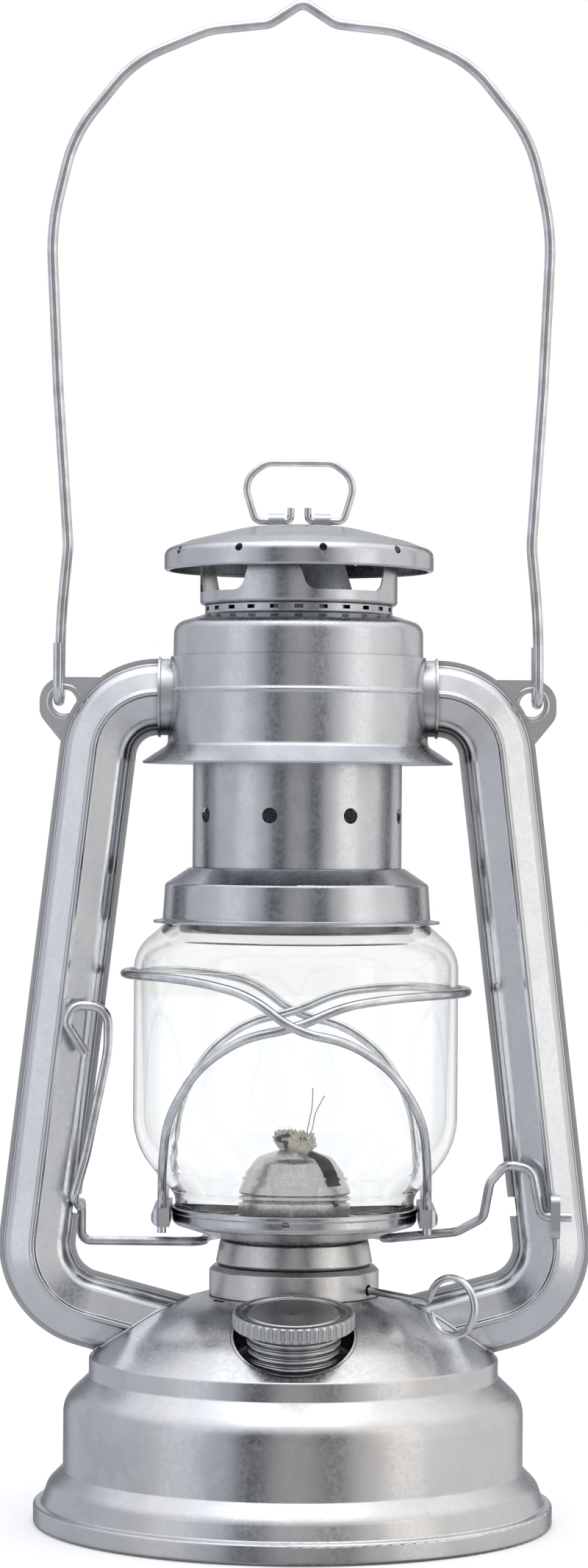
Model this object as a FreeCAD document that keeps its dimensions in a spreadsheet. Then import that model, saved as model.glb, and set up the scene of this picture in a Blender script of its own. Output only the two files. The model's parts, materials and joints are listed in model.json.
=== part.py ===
import FreeCAD, Part
import math
import os
import re

import Sketcher
from FreeCAD import Placement, Rotation, Vector

# Barn lantern: fuel tank with burner, two pressed side tubes that carry an air chamber, a clear
# globe in a wire guard that a cranked lever lifts, and a sprung chimney with a vented cap.
# Millimetres, +Z up, origin at the centre of the base, filler cap towards -Y.

doc = FreeCAD.newDocument("barn_lantern")
sheet = doc.addObject("Spreadsheet::Sheet", "Sizes")

DRIVING_SIZES = {
    # sheet metal, glass and wire
    "sheet_gauge": 0.6,
    "thin_gauge": 0.45,
    "glass_gauge": 1.8,
    # fuel tank
    "foot_radius": 66.9,
    "foot_band": 5.2,
    "tank_radius": 59.3,
    "wall_bottom": 14.2,
    "wall_top": 31.6,
    "seam_radius": 52.8,
    "seam_bottom": 37.8,
    "seam_top": 42.4,
    "dome_bend_radius": 37.8,
    "dome_bend_height": 54.6,
    "dome_top": 58.6,
    "mouth_radius": 18.9,
    # filler
    "filler_forward": 37.7,
    "filler_height": 45.8,
    "filler_tilt": 10.0,
    "pocket_radius": 15.9,
    "pocket_shift": 2.2,
    "neck_radius": 9.9,
    "neck_length": 8.0,
    "cap_radius": 15.3,
    "cap_band": 3.9,
    "skirt_radius": 11.3,
    "skirt_length": 8.9,
    "thread_pitch": 2.0,
    "scallop_radius": 0.75,
    # burner
    "collar_radius": 21.9,
    "collar_top": 66.2,
    "drum_radius": 20.1,
    "drum_top": 73.0,
    "cone_radius": 14.4,
    "cone_groove": 84.5,
    "cone_apex": 95.6,
    "wick_width": 14.0,
    "wick_thickness": 1.6,
    "wick_top": 100.5,
    "wick_bottom": 12.0,
    "wick_turn": 50.0,
    "shaft_offset": 3.9,
    "shaft_height": 62.3,
    "shaft_droop": 4.0,
    "shaft_wire": 0.95,
    "loop_radius": 7.2,
    "loop_reach": 48.8,
    "wheel_radius": 2.95,
    # globe carrier
    "rim_radius": 31.8,
    "rim_bottom": 76.9,
    "rim_top": 81.2,
    "plate_bottom": 73.4,
    "guard_wire": 1.15,
    "guard_radius": 43.9,
    "ear_reach": 36.6,
    "ear_round": 2.1,
    "guard_foot_x": 33.9,
    "guard_foot_y": 12.0,
    # globe
    "globe_foot_radius": 30.8,
    "globe_radius": 41.9,
    "globe_neck_radius": 32.6,
    "globe_bottom": 78.3,
    "globe_top": 162.5,
    # chimney
    "flange_radius": 37.0,
    "flange_height": 155.3,
    "hood_radius": 34.3,
    "hood_top": 164.4,
    "chimney_radius": 27.0,
    "chimney_foot": 168.7,
    "chimney_head": 204.0,
    "vent_height": 182.2,
    "vent_radius": 2.0,
    "flue_radius": 22.5,
    "fret_radius": 25.5,
    "fret_bottom": 236.4,
    "fret_sill": 239.6,
    "cap_rim_radius": 34.8,
    "cap_rim_bottom": 245.3,
    "cap_shoulder": 250.6,
    "cap_apex": 257.0,
    # lift ring
    "ring_wire": 0.9,
    "ring_axis": 258.35,
    "ring_top": 273.4,
    "saddle_length": 4.2,
    # air chamber
    "skirt_edge_radius": 40.2,
    "skirt_edge": 195.9,
    "chamber_radius": 33.6,
    "chamber_top": 223.0,
    "lid_radius": 32.3,
    "lid_shoulder": 231.6,
    "lid_top": 234.0,
    "throat_radius": 24.2,
    "throat_top": 236.2,
    # side tubes, in the plane of the lantern's front
    "entry_height": 212.6,
    "entry_reach": 36.1,
    "elbow_top_x": 50.0,
    "elbow_low_x": 68.0,
    "elbow_low_z": 58.4,
    "tube_foot_x": 28.0,
    "tube_foot_z": 47.7,
    "top_bend": 15.5,
    "low_bend": 17.5,
    "tube_half_width": 8.4,
    "tube_depth": 8.7,
    "lobe_fall": 3.0,
    "flange_width": 1.5,
    # bail
    "bail_wire": 1.35,
    "bail_hook_x": 61.8,
    "bail_axis": 215.7,
    "bail_hook_bend": 4.3,
    "ear_hole_x": 60.4,
    "ear_hole_z": 211.2,
    "ear_hole_radius": 3.15,
    "eyelet_bead": 0.85,
    # lift lever
    "lever_wire": 1.2,
    "lever_front": 11.8,
    "lever_left_x": 55.2,
    "lever_left_z": 81.5,
    "lever_right_x": 66.6,
    "lever_right_z": 80.0,
}
for row, (alias, value) in enumerate(DRIVING_SIZES.items(), start=1):
    sheet.set("A%d" % row, alias)
    sheet.set("B%d" % row, str(value))
    sheet.setAlias("B%d" % row, alias)
doc.recompute()


def size(alias):
    """A driving size read back from the sheet."""
    return float(sheet.get(alias))


def bound(formula):
    """The formula with every driving size's name pointing at the sheet."""
    return re.sub(r"[a-z][a-z_]*[a-z]", lambda name: "Sizes." + name.group(0), formula)


def worth(formula):
    """The formula's value in millimetres."""
    return float(sheet.evalExpression(bound(formula)))


PARTS = {}


def keep(label, item, placement=None):
    """Mark a document object as a finished sub-part with its own label and place."""
    item.Label = label
    if placement is not None:
        item.Placement = placement
    PARTS[label] = item
    return item


def corner_arc(before, corner, after, radius):
    """Start, middle, end and centre of the arc that rounds a corner."""
    back = (before - corner).normalize()
    ahead = (after - corner).normalize()
    half = back.getAngle(ahead) / 2
    middle_way = (back + ahead).normalize()
    reach = radius / math.tan(half)
    centre = corner + middle_way * (radius / math.sin(half))
    return corner + back * reach, centre - middle_way * radius, corner + ahead * reach, centre


def outline(name, corners, placement, closed=False, owner=None):
    """A constrained sketch of straight runs with rounded corners, bound to the sheet.

    Each corner is (x formula, y formula) or (x formula, y formula, radius formula)."""
    if owner is None:
        sketch = doc.addObject("Sketcher::SketchObject", name)
    else:
        sketch = owner.newObject("Sketcher::SketchObject", name)
    if placement is not None:
        sketch.Placement = placement
    spots = [Vector(worth(corner[0]), worth(corner[1]), 0) for corner in corners]
    count = len(spots)
    arrive = list(spots)
    leave = list(spots)
    arcs = {}
    for index, corner in enumerate(corners):
        if len(corner) > 2:
            start, middle, end, _centre = corner_arc(
                spots[index - 1], spots[index], spots[(index + 1) % count], worth(corner[2]))
            arrive[index] = start
            leave[index] = end
            arcs[index] = Part.Arc(start, middle, end)
    shapes = []
    runs = {}
    for index in range(count if closed else count - 1):
        runs[index] = len(shapes)
        shapes.append(Part.LineSegment(leave[index], arrive[(index + 1) % count]))
    arc_of = {}
    for index, arc in arcs.items():
        arc_of[index] = len(shapes)
        shapes.append(arc)
    marks = {}
    for index in arc_of:
        marks[index] = len(shapes)
        shapes.append(Part.Point(spots[index]))
    sketch.addGeometry(shapes, False)
    for mark in marks.values():
        sketch.setConstruction(mark, True)
    rules = []
    formulas = []

    def rule(kind, *values, formula=None):
        if formula is not None:
            formulas.append((len(rules), formula))
        rules.append(Sketcher.Constraint(kind, *values))

    for index, corner in enumerate(corners):
        run_in = runs.get((index - 1) % count)
        run_out = runs.get(index)
        if index in arc_of:
            arc = arc_of[index]
            anchor = (marks[index], 1)
            arc_start = sketch.Geometry[arc].StartPoint
            first, last = (1, 2) if arc_start.distanceToPoint(arrive[index]) < 1e-4 else (2, 1)
            rule("Tangent", run_in, 2, arc, first)
            rule("Tangent", arc, last, run_out, 1)
            rule("PointOnObject", marks[index], 1, run_in)
            rule("PointOnObject", marks[index], 1, run_out)
            rule("Radius", arc, worth(corner[2]), formula=corner[2])
        elif run_in is not None and run_out is not None and (closed or index > 0):
            anchor = (run_out, 1)
            rule("Coincident", run_in, 2, run_out, 1)
        else:
            anchor = (run_out, 1) if run_out is not None else (run_in, 2)
        rule("DistanceX", *anchor, spots[index].x, formula=corner[0])
        rule("DistanceY", *anchor, spots[index].y, formula=corner[1])
    sketch.addConstraint(rules)
    for number, formula in formulas:
        sketch.setExpression("Constraints[%d]" % number, bound(formula))
    return sketch


UPRIGHT = Placement(Vector(), Rotation(Vector(1, 0, 0), 90))


def inner_corners(corners, gauge):
    """The corners of a sheet's inner face, one gauge to the right of its outer face."""
    result = []
    for index, corner in enumerate(corners):
        spot = Vector(*corner[:3])
        before = spot - Vector(*corners[max(index - 1, 0)][:3])
        after = Vector(*corners[min(index + 1, len(corners) - 1)][:3]) - spot
        before = (before if index > 0 else after).normalize()
        after = (after if after.Length > 0 else before).normalize()
        normal = Vector(before.z + after.z, 0, -before.x - after.x)
        normal = normal * (2 * gauge / normal.Length ** 2)
        bend = None
        if len(corner) > 3:
            bulges = before.cross(after).y > 0
            bend = corner[3] - gauge if bulges else corner[3] + gauge
        inner = spot + normal
        result.append((inner.x, inner.y, inner.z) + ((bend,) if bend and bend > 0.03 else (0,)))
    return result


def spun_sheet(name, corners, gauge="sheet_gauge"):
    """Sheet metal or glass turned about the Z axis: the outline is its outer face, top first."""
    outer = []
    for corner in corners:
        bend = worth(corner[2]) if len(corner) > 2 else 0
        outer.append((worth(corner[0]), 0, worth(corner[1]), bend))
    inner = inner_corners(outer, size(gauge))
    face_out = bent_path(outer)
    face_in = bent_path(inner)
    ends = []
    for near, far in ((outer[0], inner[0]), (outer[-1], inner[-1])):
        ends.append(Part.LineSegment(Vector(*near[:3]), Vector(*far[:3])).toShape())
    rim = Part.Wire(Part.__sortEdges__(face_out.Edges + face_in.Edges + ends))
    section = doc.addObject("Part::Feature", name + "_section")
    section.Shape = Part.Face(rim)
    turned = doc.addObject("Part::Revolution", name)
    turned.Source = section
    turned.Axis = (0, 0, 1)
    turned.Angle = 360
    return turned


def spun_solid(name, corners):
    """A solid turned about the Z axis from a closed outline of radius and height."""
    turned = doc.addObject("Part::Revolution", name)
    turned.Source = outline(name + "_outline", corners, UPRIGHT, closed=True)
    turned.Axis = (0, 0, 1)
    turned.Angle = 360
    turned.Solid = True
    return turned


def bar(name, radius, length, start, direction):
    """A round bar along a direction, used as a pin or as a drill."""
    rod = doc.addObject("Part::Cylinder", name)
    rod.setExpression("Radius", bound(radius))
    rod.Height = length
    rod.Placement = Placement(start, Rotation(Vector(0, 0, 1), direction))
    return rod


def block(name, length, width, height, placement):
    """A box that is centred on its placement in x and y and rises along its own z."""
    box = doc.addObject("Part::Box", name)
    box.setExpression("Length", bound(length))
    box.setExpression("Width", bound(width))
    box.setExpression("Height", bound(height))
    shift = Vector(-worth(length) / 2, -worth(width) / 2, 0)
    box.Placement = placement.multiply(Placement(shift, Rotation()))
    return box


def joined(name, pieces):
    """One object from several that touch or stand apart."""
    union = doc.addObject("Part::MultiFuse", name)
    union.Shapes = pieces
    return union


def cut(name, base, tool):
    """The base with the tool's space taken away."""
    result = doc.addObject("Part::Cut", name)
    result.Base = base
    result.Tool = tool
    return result


def mirrored(name, source, normal):
    """A mirror image through the origin."""
    image = doc.addObject("Part::Mirroring", name)
    image.Source = source
    image.Normal = normal
    return image


def around(azimuth, reach=1.0, height=0.0):
    """A point at an azimuth in degrees, measured from the front towards the right."""
    turn = math.radians(azimuth)
    return Vector(reach * math.sin(turn), -reach * math.cos(turn), height)


def bent_path(corners):
    """A wire of straight runs and tangent arcs: a corner's radius of None is the largest."""
    spots = [Vector(*corner[:3]) for corner in corners]
    edges = []
    here = spots[0]
    for before, spot, after, corner in zip(spots, spots[1:], spots[2:], corners[1:]):
        radius = corner[3] if len(corner) > 3 else None
        if radius is None:
            shorter = min((before - spot).Length, (after - spot).Length)
            turn = math.pi - (before - spot).getAngle(after - spot)
            radius = 0.45 * shorter / math.tan(turn / 2)
        if radius == 0:
            edges.append(Part.LineSegment(here, spot).toShape())
            here = spot
            continue
        start, middle, end, _centre = corner_arc(before, spot, after, radius)
        if (start - here).Length > 1e-3:
            edges.append(Part.LineSegment(here, start).toShape())
        edges.append(Part.Arc(start, middle, end).toShape())
        here = end
    edges.append(Part.LineSegment(here, spots[-1]).toShape())
    return Part.Wire(edges)


def wire_piece(name, corners, radius):
    """Round wire bent along a path: the path's places come from the sheet, its radius is bound."""
    path = doc.addObject("Part::Feature", name + "_path")
    path.Shape = bent_path(corners)
    start = Vector(*corners[0][:3])
    heading = Vector(*corners[1][:3]) - start
    ring = doc.addObject("Part::Circle", name + "_section")
    ring.setExpression("Radius", bound(radius))
    ring.Placement = Placement(start, Rotation(Vector(0, 0, 1), heading))
    swept = doc.addObject("Part::Sweep", name)
    swept.Sections = [ring]
    swept.Spine = (path, [])
    swept.Solid = True
    swept.Frenet = False
    return swept


VENT_AZIMUTH = -52


def make_tank():
    """The fuel tank: a shell with a rolled foot, a stepped shoulder and a dome, and its bottom."""
    shell = spun_sheet("tank_spun", [
        ("mouth_radius", "dome_top"),
        ("mouth_radius + 5", "dome_top - 0.2", "4"),
        ("dome_bend_radius", "dome_bend_height", "50"),
        ("seam_radius", "seam_top", "0.9"),
        ("seam_radius", "seam_bottom", "0.7"),
        ("tank_radius", "wall_top", "7.5"),
        ("tank_radius", "wall_bottom", "0.5"),
        ("foot_radius - 3.8", "10.4", "5"),
        ("foot_radius - 2.1", "foot_band + 0.3", "0.5"),
        ("foot_radius", "foot_band", "0.8"),
        ("foot_radius", "0", "0.9"),
        ("foot_radius - 2.6", "0"),
    ])
    hole = doc.addObject("Part::Cylinder", "filler_hole")
    hole.setExpression("Radius", bound("pocket_radius"))
    hole.setExpression("Height", bound("seam_radius"))
    hole.Placement = POCKET.multiply(Placement(Vector(0, 0, -0.8), Rotation()))
    vent = block("tank_vent", "1.3", "4.6", "6", Placement(
        around(VENT_AZIMUTH, worth("collar_radius + 2.2"), worth("dome_top - 4")),
        Rotation(Vector(0, 0, 1), VENT_AZIMUTH - 90)))
    keep("tank_shell", cut("tank_shell", shell, joined("tank_openings", [hole, vent])))
    keep("tank_bottom", spun_sheet("tank_bottom", [
        ("0", "3.2"),
        ("tank_radius - 4", "3.2", "1.5"),
        ("tank_radius - 1", "1.4", "1.5"),
        ("foot_radius - 0.7", "1.4"),
    ]))


FILLER = Placement(Vector(0, -size("filler_forward"), size("filler_height")),
                   Rotation(Vector(1, 0, 0), size("filler_tilt")))
POCKET = FILLER.multiply(Placement(Vector(0, size("pocket_shift"), 0), Rotation()))


def make_filler():
    """The pressed pocket with its neck, and the scalloped screw cap with its seal."""
    dish = spun_sheet("pocket_dish", [
        ("0", "0"),
        ("pocket_radius - 0.75", "0", "1.2"),
        ("pocket_radius - 0.75", "16"),
    ])
    dish.Placement = POCKET
    under_dome = spun_solid("dome_space", [
        ("0", "seam_bottom - 6"),
        ("seam_radius", "seam_bottom - 6"),
        ("seam_radius", "seam_top", "0.9"),
        ("dome_bend_radius", "dome_bend_height", "50"),
        ("mouth_radius + 5", "dome_top - 0.2", "4"),
        ("0", "dome_top"),
    ])
    trimmed = doc.addObject("Part::Common", "pocket_trimmed")
    trimmed.Base = dish
    trimmed.Tool = under_dome
    neck = spun_sheet("neck_tube", [
        ("neck_radius", "neck_length"),
        ("neck_radius", "-1 * sheet_gauge"),
    ])
    neck.Placement = FILLER
    mouth = doc.addObject("Part::Cylinder", "neck_mouth")
    mouth.setExpression("Radius", bound("neck_radius - sheet_gauge"))
    mouth.Height = 3
    mouth.Placement = FILLER.multiply(Placement(Vector(0, 0, -1.5), Rotation()))
    keep("filler_neck", cut("filler_neck", joined("pocket_and_neck", [trimmed, neck]), mouth))

    body = doc.addObject("PartDesign::Body", "filler_cap")
    disc_bottom = "skirt_length + 0.3"
    disc_top = disc_bottom + " + cap_band"
    corners = [
        ("neck_radius + 0.5", "0.3"),
        ("skirt_radius", "0.3", "0.2"),
    ]
    for ridge in range(4):
        level = "0.9 + thread_pitch * %g" % ridge
        corners.append(("skirt_radius + 0.55", level + " + 0.3", "0.25"))
        corners.append(("skirt_radius + 0.55", level + " + 0.8", "0.25"))
        corners.append(("skirt_radius", level + " + 1.2", "0.2"))
    corners += [
        ("skirt_radius", disc_bottom),
        ("cap_radius", disc_bottom, "0.8"),
        ("cap_radius", disc_top, "0.9"),
        ("cap_radius - 2.2", disc_top, "0.3"),
        ("cap_radius - 2.6", disc_top + " - 0.7", "0.2"),
        ("cap_radius - 3.4", disc_top + " - 0.7", "0.2"),
        ("cap_radius - 4", disc_top + " - 0.2", "0.3"),
        ("0", disc_top + " - 1"),
        ("0", disc_top + " - 2.2"),
        ("neck_radius + 0.5", disc_top + " - 2.2"),
    ]
    profile = outline("cap_profile", corners, None, closed=True, owner=body)
    attach(profile, body, "XZ_Plane")
    turned = body.newObject("PartDesign::Revolution", "cap_turned")
    turned.Profile = profile
    turned.ReferenceAxis = (profile, ["V_Axis"])
    turned.Angle = 360
    doc.recompute()
    notch = body.newObject("Sketcher::SketchObject", "scallop")
    attach(notch, body, "XY_Plane")
    notch.addGeometry(Part.Circle(Vector(worth("cap_radius + 0.2"), 0, 0), Vector(0, 0, 1), 0.7))
    notch.addConstraint([
        Sketcher.Constraint("PointOnObject", 0, 3, -1),
        Sketcher.Constraint("DistanceX", 0, 3, worth("cap_radius + 0.2")),
        Sketcher.Constraint("Radius", 0, worth("scallop_radius")),
    ])
    notch.setExpression("Constraints[1]", bound("cap_radius + 0.2"))
    notch.setExpression("Constraints[2]", bound("scallop_radius"))
    cut_scallop = body.newObject("PartDesign::Pocket", "scallop_cut")
    cut_scallop.Profile = notch
    cut_scallop.Type = "Length"
    cut_scallop.setExpression("Length", bound(disc_top + " + 2"))
    cut_scallop.Reversed = True
    repeat(body, cut_scallop, 45)
    keep("filler_cap", body, FILLER)

    seal = spun_solid("filler_gasket", [
        ("neck_radius - 2.4", "neck_length + 0.15"),
        ("neck_radius + 0.2", "neck_length + 0.15"),
        ("neck_radius + 0.2", disc_top + " - 2.4"),
        ("neck_radius - 2.4", disc_top + " - 2.4"),
    ])
    keep("filler_gasket", seal, FILLER)


def attach(sketch, body, plane):
    """Fix a sketch to one of its own body's origin planes."""
    for feature in body.Origin.OriginFeatures:
        if feature.Role == plane:
            sketch.AttachmentSupport = [(feature, "")]
            sketch.MapMode = "FlatFace"


def repeat(body, feature, count):
    """Repeat a cut or a boss around the body's own Z axis."""
    pattern = body.newObject("PartDesign::PolarPattern", feature.Name + "_ring")
    pattern.Originals = [feature]
    for axis in body.Origin.OriginFeatures:
        if axis.Role == "Z_Axis":
            pattern.Axis = (axis, [""])
    pattern.Angle = 360
    pattern.Occurrences = count
    body.Tip = pattern
    return pattern


WICK_WAY = around(size("wick_turn"))
WICK_SIDE = around(size("wick_turn") + 90)
WICK_FRAME = Placement(Vector(), Rotation(Vector(0, 0, 1), size("wick_turn") - 90))
SHAFT_START = WICK_SIDE * size("shaft_offset") + Vector(0, 0, size("shaft_height"))
SHAFT_WAY = (WICK_WAY - Vector(0, 0, math.tan(math.radians(size("shaft_droop"))))).normalize()


def make_burner():
    """Collar, drum, flat wick tube, slotted cone, and the wick with its toothed shaft."""
    drill_start = SHAFT_START + SHAFT_WAY * 12
    collar = spun_sheet("collar_spun", [
        ("drum_radius - 0.6", "collar_top"),
        ("collar_radius - 1.3", "collar_top", "0.3"),
        ("collar_radius", "collar_top - 1.2", "0.5"),
        ("collar_radius", "dome_top + 0.05"),
    ])
    shaft_hole = bar("collar_drill", "shaft_wire + 0.5", 14, drill_start, SHAFT_WAY)
    keep("burner_collar", cut("burner_collar", collar, shaft_hole))

    drum = spun_sheet("drum_spun", [
        ("8", "drum_top + 2.2"),
        ("cone_radius - 1", "drum_top + 2.2", "1"),
        ("cone_radius + 1", "drum_top - 0.2", "1"),
        ("drum_radius - 1", "drum_top - 0.2", "0.8"),
        ("drum_radius + 0.1", "collar_top + 0.9", "0.4"),
        ("mouth_radius - 0.4", "collar_top - 0.7", "0.4"),
        ("mouth_radius - 0.4", "dome_top - 4"),
    ])
    drum_hole = bar("drum_drill", "shaft_wire + 0.06", 16, SHAFT_START + SHAFT_WAY * 8, SHAFT_WAY)
    keep("burner_drum", cut("burner_drum", drum, drum_hole))

    cone = spun_sheet("cone_spun", [
        ("0", "cone_apex"),
        ("3.5", "cone_apex", "7"),
        ("cone_radius - 4.6", "cone_apex - 2.2", "4"),
        ("cone_radius - 0.8", "cone_groove + 3.1", "5"),
        ("cone_radius + 0.2", "cone_groove + 0.9", "0.6"),
        ("cone_radius - 1.2", "cone_groove + 0.2", "0.2"),
        ("cone_radius", "cone_groove - 0.4", "0.6"),
        ("cone_radius", "drum_top + 1.6"),
    ], "thin_gauge")
    slot_sill = Placement(Vector(0, 0, size("cone_groove") + 3.2), Rotation())
    slot = block("flame_slot", "cone_radius * 2 + 4", "5.4", "12", slot_sill.multiply(WICK_FRAME))
    side_vent = bar("cone_vent", "vent_radius * 0.55", 8,
                    around(size("wick_turn") - 3, 10, size("cone_groove") - 0.6),
                    around(size("wick_turn") - 3))
    keep("burner_cone", cut("burner_cone", cone, joined("cone_openings", [slot, side_vent])))

    tube_foot = Placement(Vector(0, 0, size("dome_top") - 4), Rotation()).multiply(WICK_FRAME)
    tube_outer = block("wick_tube_outer", "wick_width + 1.6", "wick_thickness + 1.4",
                       "cone_apex - dome_top - 0.6", tube_foot)
    tube_bore = block("wick_tube_bore", "wick_width + 0.6", "wick_thickness + 0.5",
                      "cone_apex - dome_top", tube_foot)
    wheel_gap = bar("wheel_window", "wheel_radius + 0.5", 9,
                    SHAFT_START - SHAFT_WAY * 4.5, SHAFT_WAY)
    floor_slot = cut("tube_wall", tube_outer, joined("tube_openings", [tube_bore, wheel_gap]))
    keep("wick_tube", floor_slot)

    wick_foot = Placement(Vector(0, 0, size("wick_bottom")), Rotation()).multiply(WICK_FRAME)
    keep("wick", block("wick", "wick_width", "wick_thickness", "wick_top - wick_bottom",
                       wick_foot))

    loop_centre = SHAFT_START + SHAFT_WAY * size("loop_reach")
    rise = SHAFT_WAY.cross(WICK_SIDE)
    wide = size("loop_radius") / math.cos(math.pi / 8)
    inner_end = SHAFT_START - SHAFT_WAY * 8
    corners = [(inner_end.x, inner_end.y, inner_end.z)]
    for turn in range(180, -181, -45):
        angle = math.radians(turn)
        reach = wide * (1 if turn > -180 else 0.86)
        lift = rise * (reach * math.sin(angle) - (2.6 if turn == -180 else 0))
        spot = loop_centre + SHAFT_WAY * (reach * math.cos(angle)) + lift
        corners.append((spot.x, spot.y, spot.z, 1.6 if turn == 180 else wide * 0.9))
    keep("wick_shaft", wire_piece("wick_shaft", corners, "shaft_wire"))

    wheels = []
    for number, along in enumerate((-2.4, 2.4)):
        wheel = star_wheel("star_wheel_%d" % number, SHAFT_START + SHAFT_WAY * along)
        wheels.append(wheel)
    keep("star_wheels", joined("star_wheels", wheels))


def star_wheel(name, centre):
    """A small toothed wheel on the wick shaft."""
    tip = size("wheel_radius")
    teeth = 10
    points = []
    for step in range(teeth * 2):
        reach = tip if step % 2 == 0 else tip * 0.78
        angle = math.pi * step / teeth
        points.append(Vector(reach * math.cos(angle), reach * math.sin(angle), 0))
    points.append(points[0])
    star = doc.addObject("Part::Feature", name + "_edge")
    star.Shape = Part.Face(Part.makePolygon(points))
    solid = doc.addObject("Part::Extrusion", name + "_blank")
    solid.Base = star
    solid.Dir = (0, 0, 0.7)
    solid.Solid = True
    bore = doc.addObject("Part::Cylinder", name + "_bore")
    bore.setExpression("Radius", bound("shaft_wire"))
    bore.Height = 0.7
    wheel = cut(name, solid, bore)
    wheel.Placement = Placement(centre, Rotation(Vector(0, 0, 1), SHAFT_WAY))
    return wheel


def make_globe_carrier():
    """The lifting plate with its rim, the perforated air plate, two ears and the glass globe."""
    rim = spun_sheet("rim_spun", [
        ("rim_radius - 0.8", "rim_top"),
        ("rim_radius", "rim_top", "0.35"),
        ("rim_radius", "rim_top - 1.2", "0.3"),
        ("rim_radius - 0.3", "rim_top - 1.5", "0.2"),
        ("rim_radius - 0.3", "rim_bottom", "1.7"),
        ("drum_radius + 0.8", "plate_bottom + 0.2", "1"),
        ("cone_radius + 2", "plate_bottom + 0.2"),
    ])
    rim_vent = bar("rim_vent", "vent_radius / 2", 6, around(-4, 29, size("rim_bottom") + 2.2),
                   around(-4))
    keep("globe_plate", cut("globe_plate", rim, rim_vent))

    body = doc.addObject("PartDesign::Body", "air_plate")
    ring = body.newObject("Sketcher::SketchObject", "air_plate_outline")
    attach(ring, body, "XY_Plane")
    for formula in ("rim_radius - sheet_gauge - 0.7", "cone_radius + 1.2"):
        number = ring.addGeometry(Part.Circle(Vector(), Vector(0, 0, 1), worth(formula)))
        ring.addConstraint(Sketcher.Constraint("Coincident", number, 3, -1, 1))
        rule = ring.addConstraint(Sketcher.Constraint("Radius", number, worth(formula)))
        ring.setExpression("Constraints[%d]" % rule, bound(formula))
    disc = body.newObject("PartDesign::Pad", "air_plate_disc")
    disc.Profile = ring
    disc.setExpression("Length", bound("thin_gauge"))
    doc.recompute()
    full = disc.Shape.Volume
    slot = body.newObject("Sketcher::SketchObject", "air_slot")
    attach(slot, body, "XY_Plane")
    reach_in, reach_out = worth("cone_radius + 4"), worth("cone_radius + 9.5")
    half_turn = math.radians(16)
    arc_in = Part.ArcOfCircle(Part.Circle(Vector(), Vector(0, 0, 1), reach_in),
                              -half_turn, half_turn)
    arc_out = Part.ArcOfCircle(Part.Circle(Vector(), Vector(0, 0, 1), reach_out),
                               -half_turn, half_turn)
    slot.addGeometry([
        arc_in,
        Part.LineSegment(arc_in.EndPoint, arc_out.EndPoint),
        arc_out,
        Part.LineSegment(arc_out.StartPoint, arc_in.StartPoint),
    ])
    slot.addConstraint([
        Sketcher.Constraint("Coincident", 0, 2, 1, 1),
        Sketcher.Constraint("Coincident", 1, 2, 2, 2),
        Sketcher.Constraint("Coincident", 2, 1, 3, 1),
        Sketcher.Constraint("Coincident", 3, 2, 0, 1),
        Sketcher.Constraint("Coincident", 0, 3, -1, 1),
        Sketcher.Constraint("Coincident", 2, 3, -1, 1),
        Sketcher.Constraint("Radius", 0, reach_in),
        Sketcher.Constraint("Radius", 2, reach_out),
    ])
    slot.setExpression("Constraints[6]", bound("cone_radius + 4"))
    slot.setExpression("Constraints[7]", bound("cone_radius + 9.5"))
    opening = body.newObject("PartDesign::Pocket", "air_slot_cut")
    opening.Profile = slot
    opening.Type = "ThroughAll"
    opening.Midplane = True
    repeat(body, opening, 8)
    doc.recompute()
    if body.Shape.Volume > full - 1:
        raise RuntimeError("the air plate's slots were not cut")
    keep("air_plate", body, Placement(Vector(0, 0, size("rim_bottom") + 0.7), Rotation()))

    for side, name in ((-1, "left"), (1, "right")):
        middle = (worth("rim_radius + 0.1") + size("ear_reach")) / 2
        foot = Placement(Vector(side * middle, 0, worth("rim_bottom + 0.1")), Rotation())
        blank = block("guard_ear_blank_" + name, "ear_reach - rim_radius - 0.1",
                      "guard_foot_y * 2 + 6", "rim_top - rim_bottom + 0.5", foot)
        rounded = doc.addObject("Part::Fillet", "guard_ear_rounded_" + name)
        rounded.Base = blank
        outside = [number for number, edge in enumerate(blank_edges(blank), start=1)
                   if abs(edge.CenterOfMass.x - side * size("ear_reach")) < 0.1]
        rounded.Edges = [(number, size("ear_round"), size("ear_round")) for number in outside]
        holes = []
        for depth in (-1, 1):
            start = Vector(side * size("guard_foot_x"), depth * size("guard_foot_y"),
                           size("rim_bottom") - 3)
            holes.append(bar("guard_hole_%s_%d" % (name, depth + 1), "guard_wire", 10, start,
                             Vector(0, 0, 1)))
        wheel = doc.addObject("Part::Cylinder", "rim_space_" + name)
        wheel.setExpression("Radius", bound("rim_radius + 0.02"))
        wheel.Height = 20
        wheel.Placement = Placement(Vector(0, 0, 70), Rotation())
        keep("guard_ear_" + name, cut("guard_ear_" + name, rounded, joined(
            "guard_ear_openings_" + name, holes + [wheel])))

    keep("globe", spun_sheet("globe", [
        ("globe_neck_radius", "globe_top"),
        ("globe_neck_radius", "globe_top - 7.2", "3.5"),
        ("globe_radius", "globe_top - 15.2", "10.5"),
        ("globe_radius", "globe_bottom + 18.6", "21"),
        ("globe_foot_radius", "globe_bottom + 5.8", "5"),
        ("globe_foot_radius", "globe_bottom"),
    ], "glass_gauge"))


def blank_edges(item):
    """The edges of an object after it has been computed."""
    doc.recompute()
    return item.Shape.Edges


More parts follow.
